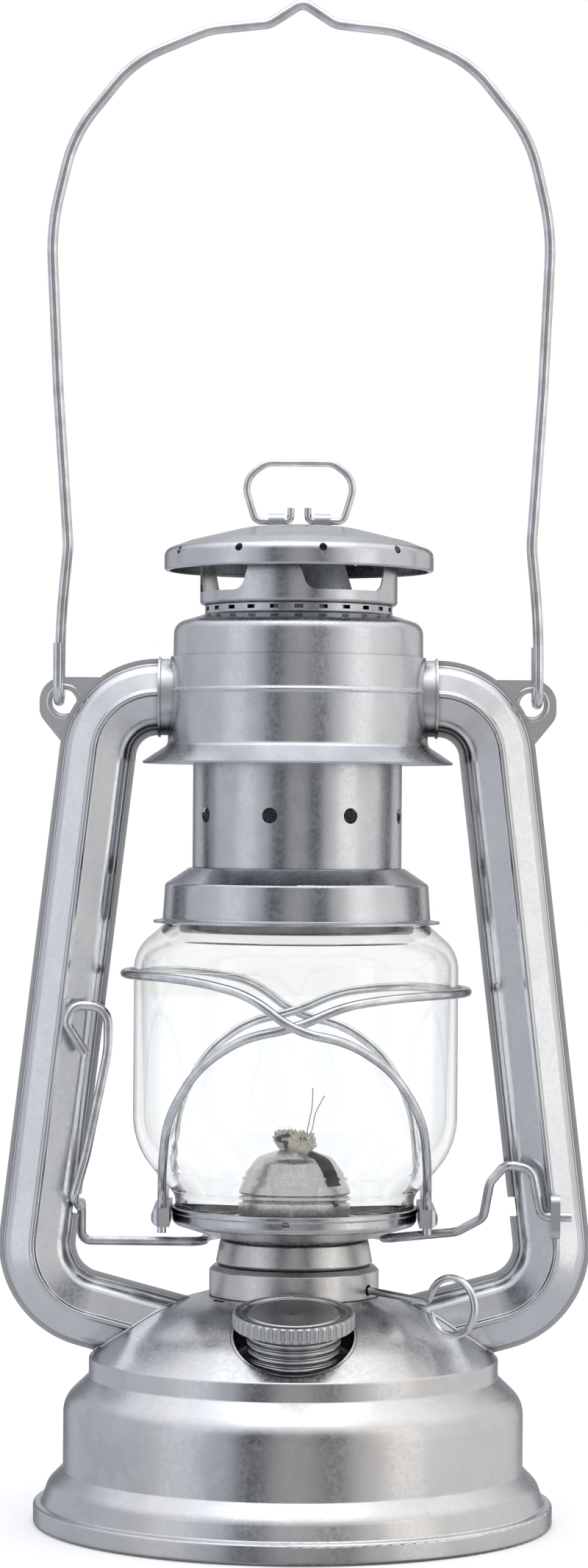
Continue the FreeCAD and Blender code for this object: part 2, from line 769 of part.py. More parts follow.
def guard_corners(side, tip_height, gap):
    """One hoop of the globe guard, from its front foot over the crossing tip to its rear foot.

    side is -1 where the hoop's feet are on the left; gap lifts it clear of the other hoop."""
    foot_x = side * size("guard_foot_x")
    foot_y = size("guard_foot_y")
    reach = size("guard_radius")
    bottom = worth("rim_bottom - 1.6")
    front = [
        (foot_x, -foot_y, bottom),
        (foot_x, -foot_y, worth("rim_top + 4")),
        (side * 33.5, -23.5, 94.0),
        (side * 32.0, -31.9, 106.0),
    ]
    climbs = ((-0.56, 0.72), (-0.30, 0.93), (0.0, 1.0), (0.27, 1.1), (0.55, 1.13))
    start_z = 129.4 - (tip_height - 137.0) * 0.2
    for across, share in climbs:
        height = 92.0 + (start_z - 92.0) * share if share <= 1.0 else (
            start_z + (tip_height - start_z) * (share - 1) / 0.14)
        bow = reach + gap * (1 - abs(across) / 0.6 if abs(across) < 0.6 else 0)
        x = -side * across * reach
        front.append((x, -math.sqrt(bow ** 2 - x ** 2), height))
    for turn in (48, 62, 76, 86):
        spot = around(-side * turn, reach / math.cos(math.radians(8)), tip_height)
        front.append((spot.x, spot.y, spot.z))
    rear = [(x, -y, z) for x, y, z in reversed(front)]
    return front + rear


def make_guard():
    """Two wire hoops that cross in front of and behind the globe."""
    keep("guard_wire_a", wire_piece("guard_wire_a", guard_corners(-1, 137.0, 0.0),
                                    "guard_wire"))
    keep("guard_wire_b", wire_piece("guard_wire_b", guard_corners(1, 141.2, 3.0),
                                    "guard_wire"))


def make_chimney():
    """Hood, perforated tube, flue, windowed collar, cap and the cap's lift ring."""
    keep("chimney_hood", spun_sheet("chimney_hood", [
        ("chimney_radius - 1", "chimney_foot - 0.1"),
        ("chimney_radius + 0.8", "chimney_foot - 0.1", "1.2"),
        ("hood_radius - 0.3", "hood_top", "1.2"),
        ("hood_radius + 0.3", "flange_height", "0.5"),
        ("flange_radius", "flange_height - 0.3"),
    ]))

    tube = spun_sheet("chimney_tube_spun", [
        ("flue_radius - 0.8", "chimney_head"),
        ("chimney_radius", "chimney_head", "2"),
        ("chimney_radius", "chimney_foot"),
    ])
    vents = []
    for number in range(8):
        azimuth = 45 * number - 15
        vents.append(bar("tube_vent_%d" % number, "vent_radius", 8,
                         around(azimuth, 22, size("vent_height")), around(azimuth)))
    keep("chimney_tube", cut("chimney_tube", tube, joined("tube_vents", vents)))

    keep("flue", spun_sheet("flue", [
        ("flue_radius", "fret_bottom - 0.1"),
        ("flue_radius", "chimney_head + 0.1"),
    ]))

    collar = spun_sheet("fret_spun", [
        ("fret_radius - 0.6", "cap_apex - 5.2"),
        ("fret_radius", "cap_apex - 6.2", "0.5"),
        ("fret_radius", "fret_bottom", "1"),
        ("flue_radius - 0.5", "fret_bottom"),
    ])
    windows = []
    for number in range(4):
        azimuth = 90 * number + 30
        facing = Placement(Vector(), Rotation(Vector(0, 0, 1), azimuth))
        window = outline("fret_window_%d" % number, [
            ("-1 * fret_radius * 0.42", "fret_sill", "3"),
            ("fret_radius * 0.42", "fret_sill", "3"),
            ("fret_radius * 0.54", "cap_apex - 7.5", "1"),
            ("-1 * fret_radius * 0.54", "cap_apex - 7.5", "1"),
        ], facing.multiply(UPRIGHT), closed=True)
        through = doc.addObject("Part::Extrusion", "fret_opening_%d" % number)
        through.Base = window
        through.Dir = facing.Rotation.multVec(Vector(0, -40, 0))
        through.Solid = True
        windows.append(through)
    keep("fret_collar", cut("fret_collar", collar, joined("fret_openings", windows)))

    cap = spun_sheet("cap_spun", [
        ("0", "cap_apex"),
        ("12", "cap_apex", "40"),
        ("cap_rim_radius - 6.5", "cap_shoulder + 2.4", "14"),
        ("cap_rim_radius", "cap_shoulder", "2.4"),
        ("cap_rim_radius", "cap_rim_bottom", "0.7"),
        ("cap_rim_radius - 1.4", "cap_rim_bottom"),
    ])
    notches = []
    for number in range(10):
        azimuth = 36 * number + 10
        notches.append(bar("cap_notch_%d" % number, "vent_radius / 2", 6,
                           around(azimuth, 32, size("cap_shoulder") - 0.9), around(azimuth)))
    keep("chimney_cap", cut("chimney_cap", cap, joined("cap_notches", notches)))


def make_lift_ring():
    """A wire ring whose inturned ends pivot in two saddles on the cap."""
    axis = size("ring_axis")
    half = [
        (2.2, 0, axis + 3.4, None),
        (2.2, 0, axis, 1.4),
        (11.4, 0, axis, 2.2),
        (14.6, 0, axis + 10.6, 6),
        (8.6, 0, size("ring_top"), 5),
    ]
    left = [(-x, y, z, bend) for x, y, z, bend in reversed(half)]
    keep("lift_ring", wire_piece("lift_ring", half + left, "ring_wire"))
    middle = 5.9
    reach = size("saddle_length") / 2
    for side, name in ((-1, "left"), (1, "right")):
        turned = Rotation(Vector(0, 0, 1), Vector(1, 0, 0))
        arch = doc.addObject("Part::Cylinder", "saddle_arch_" + name)
        arch.setExpression("Radius", bound("ring_wire + 1"))
        arch.setExpression("Height", bound("saddle_length"))
        arch.Placement = Placement(Vector(side * middle - reach, 0, axis), turned)
        foot = Placement(Vector(side * middle, 0, size("cap_apex") + 0.02), Rotation())
        leaf = block("saddle_leaf_" + name, "saddle_length", "9", "0.7", foot)
        web = block("saddle_web_" + name, "saddle_length", "ring_wire * 2 + 2",
                    "ring_axis - cap_apex", foot)
        bore = bar("saddle_bore_" + name, "ring_wire + 0.06", 9,
                   Vector(side * middle - 4.5, 0, axis), Vector(1, 0, 0))
        below = Placement(Vector(side * middle, 0, size("cap_apex") - 2.98), Rotation())
        ground = block("saddle_ground_" + name, "saddle_length + 2", "12", "3", below)
        saddle = joined("saddle_blank_" + name, [arch, leaf, web])
        tools = joined("saddle_tools_" + name, [bore, ground])
        keep("ring_saddle_" + name, cut("ring_saddle_" + name, saddle, tools))


def tube_route():
    """The right side tube's centre line: out of the chamber, down, and in to the tank."""
    return bent_path([
        (size("entry_reach"), 0, size("entry_height")),
        (size("elbow_top_x"), 0, size("entry_height"), size("top_bend")),
        (size("elbow_low_x"), 0, size("elbow_low_z"), size("low_bend")),
        (size("tube_foot_x"), 0, size("tube_foot_z")),
    ])


def half_section(gauge):
    """A pressed half shell's section: two lobes fall away from a middle ridge to the flanges.

    Its x runs to the outside of the bends and its y away from the seam."""
    half = size("tube_half_width")
    depth = size("tube_depth")
    shoulder = depth - size("lobe_fall")
    edge = half + size("flange_width")
    outer = [
        (-edge, 0, gauge, 0),
        (-half + 0.1, 0, gauge, 0.5),
        (-half + 0.4, 0, shoulder, 4.2),
        (-0.1, 0, depth - 0.1, 0.5),
        (0.45, 0, depth + 0.65, 0.6),
        (1.2, 0, depth + 0.65, 0.6),
        (1.8, 0, depth - 0.3, 0.4),
        (half - 0.5, 0, shoulder, 3.4),
        (half - 0.1, 0, gauge, 0.5),
        (edge, 0, gauge, 0),
    ]
    inner = inner_corners(outer, gauge)
    inner[0] = (-edge, 0, 0, 0)
    inner[-1] = (edge, 0, 0, 0)
    faces = [bent_path(outer), bent_path(inner)]
    ends = [Part.LineSegment(Vector(*near[:3]), Vector(*far[:3])).toShape()
            for near, far in ((outer[0], inner[0]), (outer[-1], inner[-1]))]
    edges = faces[0].Edges + faces[1].Edges + ends
    return Part.Wire(Part.__sortEdges__(edges))


def swept_tube(name, section):
    """A section carried along the side tube's centre line."""
    path = doc.addObject("Part::Feature", name + "_path")
    path.Shape = tube_route()
    profile = doc.addObject("Part::Feature", name + "_section")
    profile.Shape = section
    turned = FreeCAD.Matrix(0, 0, 1, 0, 0, -1, 0, 0, 1, 0, 0, 0, 0, 0, 0, 1)
    stand = Placement(turned)
    upright = Placement(Vector(), Rotation(Vector(1, 0, 0), -90))
    entry = Placement(Vector(size("entry_reach"), 0, size("entry_height")), Rotation())
    profile.Placement = entry.multiply(stand).multiply(upright)
    swept = doc.addObject("Part::Sweep", name)
    swept.Sections = [profile]
    swept.Spine = (path, [])
    swept.Solid = True
    swept.Frenet = False
    return swept


def make_side_tubes():
    """Two tubes, each of a front and a back shell seamed along flanges, with the bail's ears."""
    shell = swept_tube("tube_shell", half_section(size("sheet_gauge")))
    half = size("tube_half_width") + size("flange_width") + 0.05
    deep = size("tube_depth") + 1.2
    frame = Part.makePolygon([Vector(-half, 0, -deep), Vector(half, 0, -deep),
                              Vector(half, 0, deep), Vector(-half, 0, deep),
                              Vector(-half, 0, -deep)])
    envelope = swept_tube("tube_envelope", Part.Wire(frame.Edges))
    tank_space = spun_solid("tank_space", [
        ("0", "wall_bottom"),
        ("tank_radius + 0.05", "wall_bottom"),
        ("tank_radius + 0.05", "wall_top", "7.5"),
        ("seam_radius + 0.05", "seam_bottom", "0.7"),
        ("seam_radius + 0.05", "seam_top + 0.05", "0.9"),
        ("dome_bend_radius", "dome_bend_height + 0.05", "50"),
        ("mouth_radius + 5", "dome_top - 0.15", "4"),
        ("0", "dome_top + 0.05"),
    ])
    notch = doc.addObject("Part::Box", "flange_notch")
    notch.Length = 5
    notch.Width = 8
    notch.Height = 5
    notch.Placement = Placement(Vector(52.6, -4, size("lever_left_z") - 2.5), Rotation())
    front = cut("tube_front", shell, joined("tube_front_tools", [tank_space, notch]))
    back = mirrored("tube_back", front, Vector(0, 1, 0))
    keep("right_tube_front", front)
    keep("right_tube_back", back)
    keep("left_tube_front", mirrored("left_tube_front", front, Vector(1, 0, 0)))
    keep("left_tube_back", mirrored("left_tube_back", back, Vector(1, 0, 0)))

    plate = outline("bail_ear_outline", [
        ("ear_hole_x - 9", "ear_hole_z - 6"),
        ("ear_hole_x + 0.6", "ear_hole_z - 10.5"),
        ("ear_hole_x + 6.4", "ear_hole_z - 3.4", "5"),
        ("ear_hole_x + 6.4", "ear_hole_z + 6.4", "6.2"),
        ("ear_hole_x - 9", "ear_hole_z + 6.4"),
    ], Placement(Vector(0, 0.6, 0), Rotation(Vector(1, 0, 0), 90)), closed=True)
    blank = doc.addObject("Part::Extrusion", "bail_ear_blank")
    blank.Base = plate
    blank.Dir = (0, -1.2, 0)
    blank.Solid = True
    eye = bar("bail_ear_eye", "ear_hole_radius", 6,
              Vector(size("ear_hole_x"), -3, size("ear_hole_z")), Vector(0, 1, 0))
    eyelet = doc.addObject("Part::Torus", "bail_ear_eyelet")
    eyelet.setExpression("Radius1", bound("ear_hole_radius + eyelet_bead"))
    eyelet.setExpression("Radius2", bound("eyelet_bead"))
    eyelet.Placement = Placement(Vector(size("ear_hole_x"), 0, size("ear_hole_z")),
                                 Rotation(Vector(1, 0, 0), 90))
    ear = cut("bail_ear_right", joined("bail_ear_pressed", [blank, eyelet]),
              joined("bail_ear_tools", [eye, envelope]))
    keep("bail_ear_right", ear)
    keep("bail_ear_left", mirrored("bail_ear_left", ear, Vector(1, 0, 0)))

    ferrule = spun_sheet("ferrule_spun", [
        ("10.4", "0.6"),
        ("9.9", "0.6", "0.12"),
        ("9.9", "-3.7"),
    ])
    ferrule.Placement = Placement(Vector(size("entry_reach") - 1.25, 0, size("entry_height")),
                                  Rotation(Vector(0, 1, 0), 90))
    chamber_space = doc.addObject("Part::Cylinder", "chamber_space")
    chamber_space.setExpression("Radius", bound("chamber_radius - 0.4"))
    chamber_space.Height = 60
    chamber_space.Placement = Placement(Vector(0, 0, 180), Rotation())
    ring = cut("right_tube_ferrule", ferrule, chamber_space)
    keep("right_tube_ferrule", ring)
    keep("left_tube_ferrule", mirrored("left_tube_ferrule", ring, Vector(1, 0, 0)))


def make_chamber():
    """The air chamber: skirted wall, slotted lid, and the spring that seats the chimney."""
    wall = spun_sheet("chamber_wall", [
        ("chamber_radius - 0.6", "chamber_top"),
        ("chamber_radius - 0.2", "skirt_edge + 19", "1"),
        ("chamber_radius + 0.3", "skirt_edge + 18.2", "0.7"),
        ("chamber_radius", "skirt_edge + 17.4", "1"),
        ("chamber_radius", "skirt_edge + 4.4", "1.8"),
        ("skirt_edge_radius", "skirt_edge"),
    ])
    entries = bar("chamber_entries", "10", 90, Vector(-45, 0, size("entry_height")),
                  Vector(1, 0, 0))
    keep("air_chamber", cut("air_chamber", wall, entries))

    lid = spun_sheet("lid_spun", [
        ("throat_radius", "throat_top"),
        ("throat_radius", "lid_top", "0.7"),
        ("lid_radius - 0.1", "lid_shoulder", "3.5"),
        ("lid_radius", "chamber_top - 1.4"),
    ])
    slots = []
    for number in range(24):
        azimuth = 15 * number
        turned = Rotation(Vector(0, 0, 1), azimuth)
        spot = turned.multVec(Vector(size("throat_radius"), 0, size("lid_top") + 0.8))
        slots.append(block("lid_slot_%d" % number, "4", "2.2", "1", Placement(spot, turned)))
    keep("chamber_lid", cut("chamber_lid", lid, joined("lid_slots", slots)))

    coil = doc.addObject("Part::Helix", "spring_path")
    coil.setExpression("Radius", bound("throat_radius + 1.2"))
    coil.setExpression("Height", bound("lid_shoulder - chimney_head - 2.6"))
    coil.Pitch = 6
    coil.Placement = Placement(Vector(0, 0, size("chimney_head") + 0.95), Rotation())
    section = doc.addObject("Part::Circle", "spring_section")
    section.Radius = 0.8
    section.Placement = Placement(Vector(worth("throat_radius + 1.2"), 0,
                                         size("chimney_head") + 0.95),
                                  Rotation(Vector(1, 0, 0), 90))
    spring = doc.addObject("Part::Sweep", "chimney_spring")
    spring.Sections = [section]
    spring.Spine = (coil, [])
    spring.Solid = True
    spring.Frenet = True
    keep("chimney_spring", spring)


def make_bail():
    """The carrying handle: an arched wire with a hook through each ear."""
    hook_x = size("bail_hook_x")
    axis = size("bail_axis")
    bend = size("bail_hook_bend")
    right = [
        (hook_x, bend, axis + 10.5, None),
        (hook_x, bend, axis - bend, bend - 0.02),
        (hook_x, -bend, axis - bend, bend - 0.02),
        (hook_x, -bend, axis + 16, None),
        (hook_x - 1.9, -bend * 0.8, axis + 36, 22),
        (hook_x + 0.9, -bend * 0.4, 292, 60),
        (hook_x + 2.9, 0, 334, 60),
        (hook_x - 2.8, 0, 358, 36),
        (43.5, 0, 377.4, 30),
        (24.0, 0, 385.6, 20),
        (8.6, 0, 387.2, 6),
    ]
    left = [(-corner[0], -corner[1]) + corner[2:] for corner in reversed(right)]
    keep("bail", wire_piece("bail", right + [(0, 0, 392.8, 3.4)] + left, "bail_wire"))


LEVER_AXIS = (Vector(-size("lever_left_x"), 0, size("lever_left_z")),
              Vector(size("lever_right_x"), -size("lever_front"), size("lever_right_z")))


def make_lever():
    """The cranked lever: thumb hook, arm, bow behind the burner, and the right crank."""
    front = -size("lever_front")
    pivot_x = -size("lever_left_x")
    pivot_z = size("lever_left_z")
    run = LEVER_AXIS[1] - LEVER_AXIS[0]
    end_x = size("lever_right_x") + 4.2
    share = (end_x - LEVER_AXIS[0].x) / run.x
    end = LEVER_AXIS[0] + run * share
    before_end = LEVER_AXIS[0] + run * (share - 7.8 / run.x)
    low = 71.5
    corners = [
        (-53.7, front, 121.0, None),
        (-58.8, front, 129.0, 3),
        (-56.6, front, 133.3, 3.5),
        (-48.0, front, 133.0, 4.6),
        (-47.9, front, 122.0, 30),
        (-53.4, front, 95.0, 20),
        (-56.4, front, pivot_z + 2.6, 2),
        (pivot_x, front + 4.5, pivot_z, 2.2),
        (pivot_x, 4.6, pivot_z, 2.4),
        (pivot_x, 4.6, low, 2.4),
        (-23.4, 3.4, low, 4),
        (-22.9, 23.0, low + 0.4, 13),
        (22.9, 23.0, low + 0.6, 13),
        (23.2, 2.4, low + 1.2, 4),
        (42.0, -1.4, 75.0, 6),
        (48.6, -4.6, 79.0, 4),
        (50.0, -9.0, 88.5, 5),
        (54.0, front, 93.4, 3.5),
        (60.6, front, 92.2, 4),
        (before_end.x, before_end.y, before_end.z, 2.4),
        (end.x, end.y, end.z, None),
    ]
    keep("lift_lever", wire_piece("lift_lever", corners, "lever_wire"))

    lug_x = size("lever_right_x")
    foot = Placement(Vector(lug_x, front - 0.15, size("lever_right_z") - 5.6), Rotation())
    strap = block("lug_blank", "2.4", "4.8", "11.2", foot)
    doc.recompute()
    rounded = doc.addObject("Part::Fillet", "lug_rounded")
    rounded.Base = strap
    outer_face = front - 0.15 - 2.4
    ends = [number for number, edge in enumerate(strap.Shape.Edges, start=1)
            if abs(edge.CenterOfMass.y - outer_face) < 0.01
            and abs(edge.CenterOfMass.x - lug_x) < 0.01]
    rounded.Edges = [(number, 2.4, 2.4) for number in ends]
    way = (LEVER_AXIS[1] - LEVER_AXIS[0]).normalize()
    bore = bar("lug_bore", "lever_wire + 0.06", 8, LEVER_AXIS[1] - way * 4, way)
    keep("lever_lug", cut("lever_lug", rounded, bore))


make_tank()
make_filler()
make_burner()
make_globe_carrier()
make_guard()
make_chimney()
make_lift_ring()
make_side_tubes()
make_chamber()
make_bail()
make_lever()
doc.recompute()

for item in doc.Objects:
    if "Invalid" in item.State or "Error" in item.State:
        raise RuntimeError("%s could not be computed" % item.Name)
for label, item in PARTS.items():
    if item.Shape.isNull() or not item.Shape.isValid():
        raise RuntimeError("%s has no valid shape" % label)

os.makedirs("parts", exist_ok=True)
for label, item in PARTS.items():
    item.Shape.exportStep("parts/%s.step" % label)
print("wrote %d parts" % len(PARTS))
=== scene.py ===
"""Barn lantern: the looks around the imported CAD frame. Metres, +Z up, filler cap towards -Y."""

import json
import math
import random

import bpy
from mathutils import Matrix, Vector
from mathutils.bvhtree import BVHTree


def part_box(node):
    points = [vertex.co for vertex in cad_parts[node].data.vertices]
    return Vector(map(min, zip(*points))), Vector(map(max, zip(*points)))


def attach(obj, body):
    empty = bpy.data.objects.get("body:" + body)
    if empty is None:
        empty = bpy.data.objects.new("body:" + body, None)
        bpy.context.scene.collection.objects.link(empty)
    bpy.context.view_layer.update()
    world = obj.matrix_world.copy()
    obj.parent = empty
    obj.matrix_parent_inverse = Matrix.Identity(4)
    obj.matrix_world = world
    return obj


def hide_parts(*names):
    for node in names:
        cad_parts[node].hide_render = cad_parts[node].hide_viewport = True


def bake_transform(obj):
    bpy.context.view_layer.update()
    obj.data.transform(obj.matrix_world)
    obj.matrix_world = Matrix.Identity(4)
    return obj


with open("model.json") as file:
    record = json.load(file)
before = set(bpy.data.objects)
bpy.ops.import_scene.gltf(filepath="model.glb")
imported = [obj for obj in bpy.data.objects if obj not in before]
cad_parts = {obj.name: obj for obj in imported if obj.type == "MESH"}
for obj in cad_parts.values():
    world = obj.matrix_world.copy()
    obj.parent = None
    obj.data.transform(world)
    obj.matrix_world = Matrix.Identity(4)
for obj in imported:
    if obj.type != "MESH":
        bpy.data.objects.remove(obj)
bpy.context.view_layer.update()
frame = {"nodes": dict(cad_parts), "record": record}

MM = 0.001
NODES = frame["nodes"]
WHITE = (1, 1, 1)


def add_object(name, data):
    """A new object for a mesh, curve, lamp or camera, linked to the scene."""
    item = bpy.data.objects.new(name, data)
    bpy.context.scene.collection.objects.link(item)
    return item


# ---------------------------------------------------------------- camera and light

CAMERA_DISTANCE = 1.083
CAMERA_HEIGHT = 0.1841
CAMERA_SIDE = -0.0009
CAMERA_PITCH = math.radians(0.33)
CAMERA_ROLL = math.radians(0.41)
CAMERA_LENS = 96.1
CAMERA_SENSOR = 36
CAMERA_NEAR = 0.05
CAMERA_FAR = 20

LIGHT_AIM = Vector((0, 0, 0.19))
# name, place, width, height, power, tint
SOFTBOXES = (
    ("softbox_left", (-1.15, -0.75, 0.35), 0.55, 1.3, 0.6, (0.96, 0.98, 1)),
    ("softbox_right", (1.15, -0.75, 0.35), 0.55, 1.3, 0.9, (1, 0.99, 0.96)),
    ("softbox_top", (0, -0.2, 1.5), 1.2, 1.2, 2.0, WHITE),
)

# the walls that the metal reflects: degrees from the front towards +X, then the wall's colour
ROOM_BY_AZIMUTH = (
    (-180, 0.56, 0.57, 0.59), (-171, 0.54, 0.55, 0.57), (-166, 0.20, 0.21, 0.23),
    (-155, 0.22, 0.23, 0.25), (-148, 0.58, 0.59, 0.63), (-105, 0.60, 0.62, 0.66),
    (-80, 0.64, 0.66, 0.70), (-42, 0.63, 0.65, 0.69), (-31, 0.55, 0.57, 0.61),
    (-26, 0.13, 0.138, 0.155), (-15, 0.11, 0.117, 0.13), (-9, 0.44, 0.44, 0.45),
    (9, 0.46, 0.455, 0.45), (15, 0.15, 0.16, 0.175), (25, 0.16, 0.17, 0.19),
    (31, 0.66, 0.655, 0.65), (48, 0.86, 0.845, 0.83), (72, 0.90, 0.885, 0.86),
    (92, 0.88, 0.87, 0.85), (118, 0.80, 0.80, 0.79), (146, 0.74, 0.74, 0.73),
    (154, 0.24, 0.24, 0.25), (165, 0.22, 0.22, 0.23), (171, 0.54, 0.55, 0.57),
    (180, 0.56, 0.57, 0.59),
)
ROOM_STRENGTH = 1.0
# the roof and the ground come in between these heights of the reflected direction
ROOF_COLOUR = (1.50, 1.52, 1.57)
ROOF_FROM, ROOF_TO = 0.45, 0.97
GROUND_COLOUR = (0.58, 0.59, 0.62)
GROUND_FROM, GROUND_TO = -0.12, -0.55

FLOOR_RADIUS = 3.0
FLOOR_SIDES = 96
FLOOR_GLOW = 0.17


def make_camera():
    """A long lens at the lantern's mid height, rolled a little to the left."""
    data = bpy.data.cameras.new("camera")
    data.lens = CAMERA_LENS
    data.sensor_width = CAMERA_SENSOR
    data.clip_start = CAMERA_NEAR
    data.clip_end = CAMERA_FAR
    camera = add_object("camera", data)
    forward = Vector((0, math.cos(CAMERA_PITCH), math.sin(CAMERA_PITCH)))
    up = Vector((-math.sin(CAMERA_ROLL), 0, math.cos(CAMERA_ROLL)))
    right = forward.cross(up).normalized()
    up = right.cross(forward)
    turn = Matrix((right, up, -forward)).transposed()
    place = Matrix.Translation((CAMERA_SIDE, -CAMERA_DISTANCE, CAMERA_HEIGHT))
    camera.matrix_world = place @ turn.to_4x4()
    bpy.context.scene.camera = camera


def add_softbox(name, spot, width, height, power, tint):
    """A rectangular area light that faces the lantern."""
    data = bpy.data.lights.new(name, "AREA")
    data.shape = "RECTANGLE"
    data.size = width
    data.size_y = height
    data.energy = power
    data.color = tint
    lamp = add_object(name, data)
    lamp.location = spot
    way = LIGHT_AIM - Vector(spot)
    lamp.rotation_euler = way.to_track_quat("-Z", "Y").to_euler()


def make_room():
    """White to the camera; to the metal, walls that change with azimuth and have dark gaps."""
    world = bpy.data.worlds.new("studio")
    bpy.context.scene.world = world
    world.use_nodes = True
    tree = world.node_tree
    tree.nodes.clear()
    way = node(tree, "ShaderNodeTexCoord")
    split = node(tree, "ShaderNodeSeparateXYZ")
    tree.links.new(way.outputs["Generated"], split.inputs[0])
    ahead = node(tree, "ShaderNodeMath", {"operation": "MULTIPLY"})
    ahead.inputs[1].default_value = -1
    tree.links.new(split.outputs["Y"], ahead.inputs[0])
    azimuth = node(tree, "ShaderNodeMath", {"operation": "ARCTAN2"})
    tree.links.new(split.outputs["X"], azimuth.inputs[0])
    tree.links.new(ahead.outputs[0], azimuth.inputs[1])
    walls = node(tree, "ShaderNodeValToRGB")
    tree.links.new(spread(tree, azimuth.outputs[0], -math.pi, math.pi, 0, 1), walls.inputs[0])
    stops = walls.color_ramp.elements
    while len(stops) > 1:
        stops.remove(stops[-1])
    for index, (degrees, *colour) in enumerate(ROOM_BY_AZIMUTH):
        place = (degrees + 180) / 360
        stop = stops[0] if index == 0 else stops.new(place)
        stop.position = place
        stop.color = (*colour, 1)
    height = split.outputs["Z"]
    roof = spread(tree, height, ROOF_FROM, ROOF_TO, 0, 1)
    ground = spread(tree, height, GROUND_TO, GROUND_FROM, 1, 0)
    room = blend_colour(tree, roof, walls.outputs[0], ROOF_COLOUR)
    room = blend_colour(tree, ground, room, GROUND_COLOUR)
    rays = node(tree, "ShaderNodeLightPath")
    straight = node(tree, "ShaderNodeMath", {"operation": "MAXIMUM"})
    tree.links.new(rays.outputs["Is Camera Ray"], straight.inputs[0])
    tree.links.new(rays.outputs["Is Transmission Ray"], straight.inputs[1])
    shade = node(tree, "ShaderNodeBackground", Strength=ROOM_STRENGTH)
    out = node(tree, "ShaderNodeOutputWorld")
    tree.links.new(blend_colour(tree, straight.outputs[0], room, WHITE), shade.inputs["Color"])
    tree.links.new(shade.outputs[0], out.inputs["Surface"])


def make_light():
    """Two tall softboxes and a top light in the room."""
    for softbox in SOFTBOXES:
        add_softbox(*softbox)
    make_room()


def make_floor():
    """A round white floor that fades into the white room; the metal reflects the room instead."""
    ring = [(FLOOR_RADIUS * math.cos(2 * math.pi * step / FLOOR_SIDES),
             FLOOR_RADIUS * math.sin(2 * math.pi * step / FLOOR_SIDES), 0)
            for step in range(FLOOR_SIDES)]
    mesh = bpy.data.meshes.new("floor")
    mesh.from_pydata(ring, [], [tuple(range(FLOOR_SIDES))])
    floor = add_object("floor", mesh)
    floor.visible_glossy = False
    material, tree, shader = blank_material("floor_paper")
    paper = blend_colour(tree, grain(tree, 60, 3), (0.89, 0.89, 0.89), (0.91, 0.91, 0.91))
    tree.links.new(paper, shader.inputs["Base Color"])
    shader.inputs["Roughness"].default_value = 0.9
    shader.inputs["Specular IOR Level"].default_value = 0.1
    shader.inputs["Emission Color"].default_value = (*WHITE, 1)
    shader.inputs["Emission Strength"].default_value = FLOOR_GLOW
    mesh.materials.append(material)


# ---------------------------------------------------------------- materials

GRAIN_ROUGHNESS = 0.55
# sheet metal: features per metre of each pattern
SPANGLE_SCALE = 210
SPANGLE_WARP_SCALE = 120
CLOUD_SCALE = 28
BAND_SCALE = 9
DENT_SCALE = 42
FINE_SCALE = 900
# sheet metal: how far each ambient occlusion node looks, and the colours it darkens to; both paint
# shade, the first also a little grime in creases
CREASE_REACH = 2.5 * MM
# the near-black that painted shade and grime in creases darken to
CREASE_SHADE_AND_GRIME = (0.07, 0.07, 0.075)
INSIDE_REACH = 30 * MM
# the colour that painted shade on enclosed sides darkens to
INSIDE_PAINTED_SHADE = (0.10, 0.10, 0.11)
SPANGLE_COLOUR = (0.86, 0.88, 0.90)
GLOSS_CHANGE = 0.06
WIRE_PITS = (0.14, 0.13, 0.12)
GLASS_IOR = 1.47


def blank_material(name):
    """A new node material, its tree, and the Principled shader already linked in it."""
    material = bpy.data.materials.new(name)
    material.use_nodes = True
    tree = material.node_tree
    return material, tree, tree.nodes["Principled BSDF"]


def node(tree, kind, values=None, **inputs):
    """A new node with its properties from values and its sockets from inputs."""
    made = tree.nodes.new(kind)
    for key, value in (values or {}).items():
        setattr(made, key, value)
    for key, value in inputs.items():
        made.inputs[key.replace("_", " ")].default_value = value
    return made


def grain(tree, scale, detail, stretch=(1, 1, 1)):
    """Noise in the object's own coordinates: scale is features per metre."""
    where = node(tree, "ShaderNodeTexCoord")
    mapping = node(tree, "ShaderNodeMapping", Scale=stretch)
    noise = node(tree, "ShaderNodeTexNoise", Scale=scale, Detail=detail,
                 Roughness=GRAIN_ROUGHNESS)
    tree.links.new(where.outputs["Object"], mapping.inputs["Vector"])
    tree.links.new(mapping.outputs[0], noise.inputs["Vector"])
    return noise.outputs["Fac"]


def spread(tree, value, low, high, out_low, out_high):
    """A value remapped from one range to another."""
    ranged = node(tree, "ShaderNodeMapRange", From_Min=low, From_Max=high, To_Min=out_low,
                  To_Max=out_high)
    tree.links.new(value, ranged.inputs["Value"])
    return ranged.outputs[0]


def blend_colour(tree, factor, first, second):
    """Two colours mixed by a socket; each colour is a socket or three numbers."""
    mix = node(tree, "ShaderNodeMix", {"data_type": "RGBA"})
    tree.links.new(factor, mix.inputs[0])
    for place, value in ((6, first), (7, second)):
        if hasattr(value, "is_output"):
            tree.links.new(value, mix.inputs[place])
        else:
            mix.inputs[place].default_value = (*value, 1)
    return mix.outputs[2]


def darker(tone, share):
    """A colour with every channel at a share of itself."""
    return tuple(channel * share for channel in tone)


def add_bump(tree, height, strength, distance, under=None):
    """A bump node on a height, stacked on another bump."""
    bump = node(tree, "ShaderNodeBump", Strength=strength, Distance=distance)
    tree.links.new(height, bump.inputs["Height"])
    if under is not None:
        tree.links.new(under, bump.inputs["Normal"])
    return bump.outputs["Normal"]


